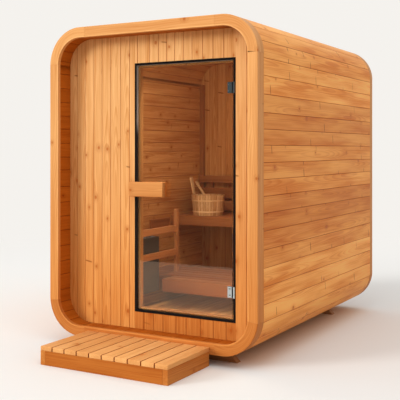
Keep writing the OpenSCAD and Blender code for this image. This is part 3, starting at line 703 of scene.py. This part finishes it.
def hoop_sections():
    """Section of the hoop, and of the band behind it, in (outwards, along) from the hoop's face."""
    leg, lip, chamfer, inner, back = 0.060, 0.026, 0.003, -WALL_T - 0.004, -CLAD_T + SEAT
    # the points just inside the inner arris bound the strip that carries the painted highlight
    hoop = [(inner, chamfer), (-WALL_T - 0.001, 0.0), (-WALL_T + 0.004, 0.0), (-WALL_T + 0.005, 0.0),
            (-chamfer, 0.0), (0.0, chamfer), (0.0, leg), (back, leg), (back, lip), (inner, lip)]
    band = [(-0.002, leg), (0.0, leg + 0.002), (0.0, leg + 0.024), (back, leg + 0.024), (back, leg)]
    return hoop, band


# where a hoop's straight members and corner blocks meet, and the members' tones
HOOP_REACH = 0.0485     # how far a corner block runs on along the roof and the floor
HOOP_JOINTS = [-0.025, SIDE + 0.005, SIDE + ARC + HOOP_REACH, SIDE + ARC + ROOF - HOOP_REACH, LEFT - 0.005,
               LEFT + SIDE + 0.025, LEFT + SIDE + ARC + HOOP_REACH, LEFT + SIDE + ARC + ROOF - HOOP_REACH]
HOOP_TONES = [0.50, 0.50, 0.55, 0.75, 0.75, 0.20, 0.15, 0.20]


def hoop_members(work, section):
    """The members of a hoop, each with its ends rounded and a painted highlight along its inner arris."""
    for (a, b), tone in zip(spans(HOOP_JOINTS), HOOP_TONES):
        ends = a + 0.0002, b - 0.0002
        bm = sweep(section, *ends)
        soften(bm, [e for e in sharp_edges(bm, 60) if all(
            min(abs(ring_from(ring_of(v.co)[0], end)) for end in ends) < SAME for v in e.verts)], 0.0007)

        def coords(p, middle=(a + b) / 2):
            s, out = ring_of(p)
            return (out - p.y * 0.9 - 0.5, ring_from(s, middle), (out + p.y) * 0.5)

        work.add(bm, coords, tone,
                 arris=lambda p: float(-WALL_T - 0.0015 < ring_of(p)[1] < -WALL_T + 0.0045 and p.y < FACE_Y + 0.001))


class SAUNA_OT_cladding(bpy.types.Operator):
    """Lays the outer boards round the shell"""
    bl_idname = "sauna.cladding"
    bl_label = "Outer cladding"

    def execute(self, context):
        joints = ring_joints(SIDE_JOINTS, 0.105)
        # tones of the boards, mostly their own; the paler top boards carry a painted highlight from above, and the
        # lower corner's boards are lifted to 0.9 as painted light where they face down into shade
        tones = [0.8, 0.3, 0.15, -0.1, -0.1, 0.6, 0.3, 0.4, 0.15, 0.1, 0.35, 1.0, 0.95, 0.7, 0.6]
        work = Joinery("cladding_boards", 0.16)
        long_boards(work, joints, 0.0, CLAD_T, FACE_Y + 0.084, TAIL_Y - 0.066, True, context.scene.sauna_sizes,
                    lambda index, b: 0.9 if b > RING - ARC else tones[index % len(tones)])
        work.done(finishes()["clad"], "shell_wood", SHELL_NODES)
        return {"FINISHED"}


class SAUNA_OT_lining(bpy.types.Operator):
    """Lays the inner staves of the porch, the cabin and the rear recess"""
    bl_idname = "sauna.lining"
    bl_label = "Inner staves"

    def execute(self, context):
        middle, rear = (WALL_FRONT + WALL_BACK) / 2, (REAR_FRONT + REAR_BACK) / 2
        floor_run = RING - 1.4          # from here on round the shell a stave lies in the floor
        # the cabin's floor staves are toned far paler than the lining, a painted light on a floor that the lamps leave
        # dim
        for name, heights, finish, floor_tone_and_light, y0, y1 in (
                ("porch_staves", PORCH_JOINTS, "porch", 0.1, STAVE_Y0, middle),
                ("cabin_staves", CABIN_JOINTS, "lining", 2.1, middle, rear),
                ("rear_staves", CABIN_JOINTS, "lining", 2.1, rear, STAVE_Y1)):
            work = Joinery(name, 0.24)
            long_boards(work, ring_joints(heights, 0.1), CLAD_T, WALL_T, y0, y1, False,
                        context.scene.sauna_sizes,
                        lambda index, b: floor_tone_and_light if b % RING > floor_run or b > RING else 0.5)
            work.done(finishes()[finish], "shell_wood", SHELL_NODES)
        return {"FINISHED"}


class SAUNA_OT_hoops(bpy.types.Operator):
    """Builds the laminated hoop at each end, with its corner blocks"""
    bl_idname = "sauna.hoops"
    bl_label = "Hoops"

    def execute(self, context):
        hoop, band = hoop_sections()
        for end, sections, face, way in (("front", [hoop, band], FACE_Y, 1), ("rear", [hoop], TAIL_Y, -1)):
            work = Joinery(end + "_hoop", 0.10)
            for section in sections:
                hoop_members(work, [(out, face + way * y) for out, y in section])
            work.done(finishes()["hoop"], "hoop_wood",
                      [f"{end}_hoop_{part}" for part in ("stiles", "rails", "corners")])
        return {"FINISHED"}


# ---- end walls ----

# planks' joints along X, over and under the door, left and right of it, and on the back wall
PLANKS_OVER = [-0.161, -0.066, 0.005, 0.068, 0.129, 0.197, 0.261, 0.338, 0.415, 0.492]
PLANKS_UNDER = [-0.112, -0.036, 0.040, 0.140, 0.216, 0.324, 0.417, 0.510]
PLANKS_LEFT = [-0.668, -0.600, -0.526, -0.455, -0.382, -0.299, -0.226]
PLANKS_RIGHT = [0.652]
PLANKS_BACK = [-0.650 + 0.0822 * k for k in range(17)]


def planks(work, node, cuts, sizes, tone=None):
    """Upright planks cut from a CAD wall, with a V between them on each face."""
    low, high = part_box(node)
    ends = [low.x] + [c for c in cuts if low.x + 0.012 < c < high.x - 0.012] + [high.x]
    gap, groove = sizes.board_gap / 3, sizes.groove * 1.15
    for a, b in zip(ends, ends[1:]):
        bm = cad_copy(node)
        if a > low.x:
            cut_away(bm, (a + gap, 0, 0), (1, 0, 0), True)
        if b < high.x:
            cut_away(bm, (b - gap, 0, 0), (1, 0, 0), False)
        upright = []
        for edge in sharp_edges(bm, 60):
            p, q = edge.verts[0].co, edge.verts[1].co
            if abs(p.x - q.x) < SAME and abs(p.y - q.y) < SAME and min(abs(p.x - a), abs(p.x - b)) < 0.002 \
                    and low.x + 0.002 < p.x < high.x - 0.002:
                upright.append(edge)
        soften(bm, upright, groove)

        def recess(p):
            joint = abs(p.x - a) < 0.001 and a > low.x or abs(p.x - b) < 0.001 and b < high.x
            return min(1.0, min(p.y - low.y, high.y - p.y) / groove) if joint else 0.0

        middle = (a + b) / 2
        work.add(bm, lambda p: (p.x - middle, p.z, p.y - low.y), tone(middle) if tone else None, recess)


class SAUNA_OT_end_walls(bpy.types.Operator):
    """Builds the planked front wall round the doorway and the planked back wall"""
    bl_idname = "sauna.end_walls"
    bl_label = "End walls"

    def execute(self, context):
        sizes = context.scene.sauna_sizes
        # the two leftmost planks are toned darker, a painted shade where the hoop's shadow falls on the wall
        walls = {"front_wall_left": (PLANKS_LEFT, lambda x: 0.15 if x < -0.668 else 0.3 if x < -0.6 else 0.5),
                 "front_wall_right": (PLANKS_RIGHT, lambda x: 0.3),
                 "front_wall_over": (PLANKS_OVER, lambda x: 0.6 - 0.9 * max(0.0, x - 0.05)),
                 "front_wall_under": (PLANKS_UNDER, lambda x: -0.2)}
        work = Joinery("front_wall_planks", 0.07)
        for node, (cuts, tone) in walls.items():
            planks(work, node, cuts, sizes, tone)
        work.done(finishes()["front"], "shell_wood", list(walls))
        work = Joinery("back_wall_planks", 0.22)
        planks(work, "back_wall", PLANKS_BACK, sizes)
        work.done(finishes()["lining"], "shell_wood", ["back_wall"])
        return {"FINISHED"}


class SAUNA_OT_doorway(bpy.types.Operator):
    """Builds the black metal frame and the wooden jambs, head and sill"""
    bl_idname = "sauna.doorway"
    bl_label = "Doorway"

    def execute(self, context):
        sizes, f = context.scene.sauna_sizes, finishes()
        middle, half, face_w = (DOOR_LOW.x + DOOR_HIGH.x) / 2, (DOOR_HIGH.x - DOOR_LOW.x) / 2, 0.012
        for node in ("metal_frame_sides", "metal_frame_ends"):
            trim = metal_from_cad(node, f["metal"], "cabin", 0.001)
            trim.data.materials.append(f["seal"])
            for face in trim.data.polygons:
                inwards = abs(face.normal.x) > 0.9 or face.normal.z < -0.9
                inside = abs(face.center.x - middle) < half - face_w and face.center.z < DOOR_HIGH.z - face_w
                face.material_index = int(inwards and inside)
        from_cad("door_jambs", f["lining"], "shell_wood", width=sizes.arris, tone=0.6)
        from_cad("door_head_and_sill", f["lining"], "shell_wood", width=sizes.arris)
        return {"FINISHED"}


# ---- glass door ----

def screw_heads(points, radius, axis, name, finish, body):
    """Countersunk screw heads with a hexagon socket, their faces along axis."""
    bm = bmesh.new()
    turn = Vector((0, 0, 1)).rotation_difference(Vector(axis)).to_matrix().to_4x4()
    for point in points:
        disc = bmesh.ops.create_circle(bm, cap_ends=True, segments=20, radius=radius,
                                       matrix=Matrix.Translation(point) @ turn)["verts"]
        cap = extrude(bm, [disc[0].link_faces[0]], Vector(axis) * 0.0009)
        # a rim, the flat of the head and the wall of its socket
        for share, depth in ((0.18, 0.0003), (0.36, 0), (0.02, -0.0009)):
            bmesh.ops.inset_region(bm, faces=cap, thickness=radius * share, depth=depth, use_even_offset=True)
    bmesh.ops.recalc_face_normals(bm, faces=bm.faces)
    return place(bm, name, finish, [], body)


class SAUNA_OT_glass_door(bpy.types.Operator):
    """Builds the glass leaf with its hinges, handles and standoffs"""
    bl_idname = "sauna.glass_door"
    bl_label = "Glass door"

    def execute(self, context):
        f = finishes()
        place(softened("door_glass", 0.0010), "glass_leaf", f["glass"], ["door_glass"], "door")
        low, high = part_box("hinge_clamps")
        leaf_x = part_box("hinge_leaves")[1].x - 0.011
        for node, body, width in (("hinge_leaves", "cabin", 0.0005), ("hinge_clamps", "door", 0.0007)):
            hinge = metal_from_cad(node, f["steel"], body, width)
            hinge.data.materials.append(f["dark_steel"])
            # the knuckles, between the glass and the leaves, are coloured dark
            for face in hinge.data.polygons:
                face.material_index = int(GLASS_RIGHT - 0.0015 < face.center.x < leaf_x)
        half, off, inset = 0.071 / 2, 0.020, 0.014      # half a hinge's height, and where its screws sit
        points = [Vector((low.x + inset, low.y, z + dz)) for z in (low.z + half, high.z - half) for dz in (-off, off)]
        screw_heads(points, 0.0042, (0, -1, 0), "hinge_screws", f["steel"], "door")
        for node in ("outer_handle", "inner_handle"):
            from_cad(node, f["hoop"], "pale_wood", "door", 0.0022, 2, 30, along=0, name=node + "_plate", tone=0.3)
        place(softened("handle_standoffs", 0.0008), "standoffs_turned", f["steel"], ["handle_standoffs"],
              "door", 35, smooth=True)
        return {"FINISHED"}


# ---- benches ----

class SAUNA_OT_benches(bpy.types.Operator):
    """Builds the two benches, the backrest and the corner battens"""
    bl_idname = "sauna.benches"
    bl_label = "Benches and backrest"

    def execute(self, context):
        sizes, f = context.scene.sauna_sizes, finishes()
        soft = sizes.bench_round
        for node in ("upper_bench_slats", "lower_bench_slats", "backrest_slats", "upper_bench_fascia",
                     "lower_bench_fascia"):
            from_cad(node, f["bench"], "bench_wood", width=soft, segments=3, along=0)
        for node in ("upper_bench_bearers", "lower_bench_bearers", "backrest_battens"):
            from_cad(node, f["bearer"], "dark_wood", width=sizes.arris)
        from_cad("corner_battens", f["bench"], "bench_wood", width=sizes.arris)
        return {"FINISHED"}


# ---- heater, guard and vent ----

def random_vector(dice, *ranges):
    """A vector of random numbers, one from each (low, high) range."""
    return Vector([dice.uniform(*each) for each in ranges])


class SAUNA_OT_heater(bpy.types.Operator):
    """Builds the heater with its stones, the guard and the wall vent"""
    bl_idname = "sauna.heater"
    bl_label = "Heater, guard and vent"

    def execute(self, context):
        f = finishes()
        metal_from_cad("heater_body", f["casing"], "cabin", 0.0009)
        self.stones(context.scene.sauna_sizes.stone, f["stones"])
        for node in ("guard_post", "guard_rails"):
            from_cad(node, f["bench"], "bench_wood", width=0.003, segments=2, tone=1.8)
        from_cad("wall_vent", f["bench"], "bench_wood", width=0.0012, along=1)
        return {"FINISHED"}

    def stones(self, size, finish):
        """Rough stones that fill the tray's box, in three loose layers."""
        low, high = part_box("heater_stones")
        span, dice, bm = high - low, random.Random("stones"), bmesh.new()
        across, along = (max(1, int(run / (1.75 * size))) for run in span.xy)
        inset, layers = 0.0005, [low.z + size * 0.9, high.z - size * 1.45, high.z - size * 0.95]
        for z, i, j in itertools.product(layers, range(across), range(along)):
            if z == layers[2] and dice.random() < 0.45:
                continue        # the top layer is loose
            at = Vector((low.x + (i + 0.5) * span.x / across, low.y + (j + 0.5) * span.y / along, z))
            at += random_vector(dice, (-0.25, 0.25), (-0.25, 0.25), (-0.15, 0.05)) * size
            scale = random_vector(dice, (0.8, 1.1), (0.8, 1.1), (0.65, 0.9)) * size
            shape = Matrix.Rotation(dice.uniform(0, 3), 3, "Z") @ Matrix.Diagonal(scale)
            seed = random_vector(dice, (0, 90), (0, 90), (0, 90))
            for v in bmesh.ops.create_icosphere(bm, subdivisions=2, radius=1.0, matrix=Matrix())["verts"]:
                v.co *= 0.86 + 0.28 * noise.noise(v.co * 1.3 + seed) + 0.10 * noise.noise(v.co * 3.1 + seed)
                v.co = shape @ v.co + at
                for k in range(3):
                    v.co[k] = min(high[k] - inset, max(low[k] + inset, v.co[k]))
        return place(bm, "heater_stone_bed", finish, ["heater_stones"], crease=24)


# ---- bucket and ladle ----

class SAUNA_OT_bucket(bpy.types.Operator):
    """Builds the coopered bucket with its hoops, and the ladle"""
    bl_idname = "sauna.bucket"
    bl_label = "Bucket and ladle"

    def execute(self, context):
        f = finishes()
        low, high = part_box("bucket_hoops")
        mid = (low + high) / 2
        self.staves(f["pail"], mid, high.z)
        work, radius = Joinery("bucket_hoop_bands", 0.1), 0.15
        work.add(softened("bucket_hoops", 0.0006),
                 lambda p: (p.z, math.atan2(p.y - mid.y, p.x - mid.x) * radius, 0.0), 1.7)
        work.done(f["pail"], "pale_wood", ["bucket_hoops"])
        work = Joinery("ladle_turned", 0.1)
        lean, turn = math.radians(43), math.radians(164.5)      # of the ladle's handle
        way = Vector((math.sin(lean) * math.cos(turn), math.sin(lean) * math.sin(turn), math.cos(lean)))
        side = way.orthogonal().normalized()
        work.add(softened("ladle", 0.0012, 2, 55), lambda p: (p.dot(side), p.dot(way), p.dot(way.cross(side))), 0.75)
        work.done(f["pail"], "pale_wood", ["ladle"])
        return {"FINISHED"}

    def staves(self, finish, mid, hoop_top):
        """The staves, each parted down its middle into two narrow ones; the ear and the bottom stay whole."""
        whole = cad_copy("bucket_staves")
        work = Joinery("bucket_staves_boards", 0.2)
        for solid in islands(whole):
            kept = {v.index for v in solid}
            centre = sum((v.co for v in solid), Vector()) / len(solid) - mid
            one_piece = max(v.co.z for v in solid) > hoop_top + 0.08 or math.hypot(centre.x, centre.y) < 0.05
            turn = math.atan2(centre.y, centre.x)
            way = Vector((-math.sin(turn), math.cos(turn), 0))

            def lean(p):
                """How far round the bucket a point lies from the stave's middle, as a slope."""
                return (p - mid).dot(way) / math.hypot(p.x - mid.x, p.y - mid.y)

            for side in ((0,) if one_piece else (1, -1)):
                bm = whole.copy()
                bm.verts.ensure_lookup_table()
                bmesh.ops.delete(bm, geom=[v for v in bm.verts if v.index not in kept], context="VERTS")
                if side:
                    cut_away(bm, mid + way * side * 0.0003, way, side > 0)
                joints = [lean(v.co) for v in bm.verts]
                first, last = min(joints), max(joints)
                soften(bm, sharp_edges(bm), 0.0014)
                work.add(bm, lambda p: ((p - mid).dot(way), p.z, (p - mid).dot(centre.normalized())), None,
                         lambda p: 0.0 if one_piece else 0.5 * float(min(lean(p) - first, last - lean(p)) < 0.005))
        whole.free()
        work.done(finish, "pale_wood", ["bucket_staves"])


# ---- step and cradles ----

class SAUNA_OT_step(bpy.types.Operator):
    """Builds the slatted step in front of the door"""
    bl_idname = "sauna.step"
    bl_label = "Step"

    def execute(self, context):
        sizes, f = context.scene.sauna_sizes, finishes()
        # dark_sides paints shade on the faces between the deck's boards, so the gaps read dark
        from_cad("step_deck", f["step"], "step_wood", width=sizes.bench_round, segments=3, along=1,
                 name="step_deck_boards", spread=0.10, dark_sides=True)
        for node, tone in (("step_sides", 0.0), ("step_crossboards", -0.5)):
            from_cad(node, f["step_frame"], "step_wood", width=0.002, segments=2, tone=tone)
        return {"FINISHED"}


class SAUNA_OT_cradles(bpy.types.Operator):
    """Builds the two splayed cradles under the shell"""
    bl_idname = "sauna.cradles"
    bl_label = "Cradles"

    def execute(self, context):
        from_cad("cradles", finishes()["bearer"], "dark_wood", width=0.002)
        return {"FINISHED"}


# ---- stage ----

def lamp(name, kind, power, colour, at, way, unseen_by, up="Y", **shape):
    """A lamp at a point that shines along way and that the named kinds of ray don't see."""
    data = bpy.data.lights.new(name, kind)
    data.energy, data.color = power, colour
    for key, value in shape.items():
        setattr(data, key, value)
    made = link(name, data)
    made.location = at
    made.rotation_euler = Vector(way).to_track_quat("-Z", up).to_euler()
    for ray in unseen_by:
        setattr(made, "visible_" + ray, False)


def set_world(scene, fill, overhead, backdrop):
    """Even light that grows with height, and the backdrop that the camera, mirrors and glass see."""
    scene.world = bpy.data.worlds.new("studio")
    scene.world.use_nodes = True
    scene.world.node_tree.nodes.clear()
    s = Shader(scene.world.node_tree)
    path = s.add("LightPath").outputs
    seen = s.math("MAXIMUM", path["Is Camera Ray"],
                  s.math("MAXIMUM", path["Is Glossy Ray"], path["Is Transmission Ray"]))
    height = s.axes(s.add("TexCoord").outputs["Generated"])[2]
    lit = s.add("Background", {"Color": (1.0, 0.985, 0.965, 1),
                               "Strength": s.between(height, 0.0, 1.0, fill, overhead, smooth=False)})
    shown = s.add("Background", {"Color": opaque(backdrop), "Strength": 1.0})
    s.add("OutputWorld", {0: s.blend(seen, lit, shown)})


def lay_floor(colour, backdrop):
    """A wide floor that turns into the backdrop far out, with a painted shadow that darkens it towards the right and a
    painted warm bounce from the wood under the cabin.
    """
    bm = bmesh.new()
    bmesh.ops.create_circle(bm, cap_ends=True, segments=96, radius=60)
    material, s, surface, output = new_material("studio_floor", Roughness=0.9, Specular_IOR_Level=0.0)
    path, at = s.add("LightPath").outputs, s.object_point()
    x, y, _ = s.axes(at)
    # under marks the floor beneath the cabin, where a painted warm bounce from the wood is laid
    under = s.times(s.between(s.math("ABSOLUTE", x), 0.45, 0.95, 1.0, 0.0),
                    s.between(s.math("ABSOLUTE", s.math("SUBTRACT", y, 0.3)), 0.85, 1.2, 1.0, 0.0))
    # painted shadow: the floor darkens towards the right, where the cabin's shadow falls
    shade = s.mix(opaque(colour), opaque(colour, (0.90, 0.885, 0.88)), s.between(x, -1.2, 2.2, smooth=False))
    shade = s.stain(shade, (1.0, 0.74, 0.50), under)
    bounce = opaque(colour, (0.66, 0.56, 0.46))
    s.feed(surface, {"Base Color": s.mix(shade, bounce, path["Is Diffuse Ray"])})
    away = s.add("VectorMath", {0: at}, operation="LENGTH").outputs["Value"]
    far = s.times(s.between(away, 2.2, 6.5), s.math("SUBTRACT", 1.0, path["Is Diffuse Ray"]))
    shown = s.add("Emission", {"Color": opaque(backdrop), "Strength": 1.0})
    s.feed(output, {0: s.blend(far, surface, shown)})
    floor = link("studio_floor", bm, material)


def hang_flag():
    """A dark card that only reflections see, so that the upper glass stays clear."""
    bm = bmesh.new()
    bmesh.ops.create_grid(bm, x_segments=1, y_segments=1, size=1.0,
                          matrix=Matrix.Translation((-3.0, FACE_Y - 3.43, 3.0))
                          @ Matrix.Rotation(math.radians(90), 4, "X") @ Matrix.Diagonal((5.0, 3.0, 1, 1)))
    material, s, surface, output = new_material(
        "studio_flag", Base_Color=(0.0, 0.0, 0.0, 1), Emission_Color=(0.085, 0.105, 0.11, 1), Emission_Strength=1.0,
        Roughness=1.0)
    path = s.add("LightPath").outputs
    through = s.times(path["Is Transmission Ray"], s.math("LESS_THAN", path["Glossy Depth"], 0.5))
    s.feed(output, {0: s.blend(through, surface, s.add("BsdfTransparent"))})
    flag = link("studio_flag", bm, material)
    flag.visible_camera = flag.visible_diffuse = flag.visible_shadow = False


class SAUNA_OT_stage(bpy.types.Operator):
    """Sets up the floor, the soft light and the camera"""
    bl_idname = "sauna.stage"
    bl_label = "Stage"

    def execute(self, context):
        scene, light, colours = context.scene, context.scene.sauna_light, context.scene.sauna_colours
        scene.view_settings.view_transform = "Standard"
        set_world(scene, light.fill, light.overhead, colours.backdrop)
        lay_floor(colours.floor, colours.backdrop)
        hang_flag()
        day, warm, inside = (1.0, 0.98, 0.95), (1, 0.9, 0.78), ("camera", "glossy", "transmission")
        lamp("key", "SUN", light.key, day, (0, 0, 0), (0.78, 1.0, -0.36), ["glossy"], angle=math.radians(20))
        # a lamp under the roof inside, and the light that comes in through the glass
        lamp("cabin", "AREA", light.cabin * 0.80, warm, (0.0, -0.30, TOP_Z - 0.22), (0.05, 0.50, -1.0), inside, "Z",
             shape="DISK", size=0.7, size_y=0.7)
        lamp("doorway", "AREA", light.cabin * 0.20, warm, (0.2, WALL_BACK + 0.02, 0.72), (0.0, 1.0, -0.05), inside,
             "Z", shape="RECTANGLE", size=0.6, size_y=0.9)
        lamp("softbox", "AREA", light.softbox, day, (1.0, -2.4, 4.4), (-0.35, 0.75, -1.6), ["camera"],
             shape="DISK", size=3.0)
        camera = link("camera", bpy.data.cameras.new("camera"))
        camera.data.lens, camera.data.sensor_width, camera.data.shift_y = light.lens, 36, -0.127
        camera.data.clip_end = 300
        camera.location = (2.865, -5.2415, 1.340)
        camera.rotation_euler = (math.radians(90), 0, math.radians(29.46))
        scene.camera = camera
        return {"FINISHED"}


class SAUNA_PT_panel(bpy.types.Panel):
    bl_idname = "SAUNA_PT_panel"
    bl_label = "Sauna cabin"
    bl_space_type = "VIEW_3D"
    bl_region_type = "UI"
    bl_category = "Sauna"

    def draw(self, context):
        column = self.layout.column(align=True)
        for operator in PIECES:
            column.operator(operator.bl_idname)
        for group in (context.scene.sauna_sizes, context.scene.sauna_colours, context.scene.sauna_light):
            box = self.layout.box()
            for key in group.__annotations__:
                box.prop(group, key)


PIECES = [SAUNA_OT_stage, SAUNA_OT_cladding, SAUNA_OT_lining, SAUNA_OT_hoops, SAUNA_OT_end_walls, SAUNA_OT_doorway,
          SAUNA_OT_glass_door, SAUNA_OT_benches, SAUNA_OT_heater, SAUNA_OT_bucket, SAUNA_OT_step, SAUNA_OT_cradles]
GROUPS = [SaunaSizes, SaunaColours, SaunaLight]


def register():
    for kind in GROUPS + PIECES + [SAUNA_PT_panel]:
        bpy.utils.register_class(kind)
    bpy.types.Scene.sauna_sizes = bpy.props.PointerProperty(type=SaunaSizes)
    bpy.types.Scene.sauna_colours = bpy.props.PointerProperty(type=SaunaColours)
    bpy.types.Scene.sauna_light = bpy.props.PointerProperty(type=SaunaLight)


def unregister():
    del bpy.types.Scene.sauna_sizes, bpy.types.Scene.sauna_colours, bpy.types.Scene.sauna_light
    for kind in reversed(GROUPS + PIECES + [SAUNA_PT_panel]):
        bpy.utils.unregister_class(kind)


def main():
    register()
    for operator in PIECES:
        family, name = operator.bl_idname.split(".")
        getattr(getattr(bpy.ops, family), name)()


if __name__ == "__main__":
    main()
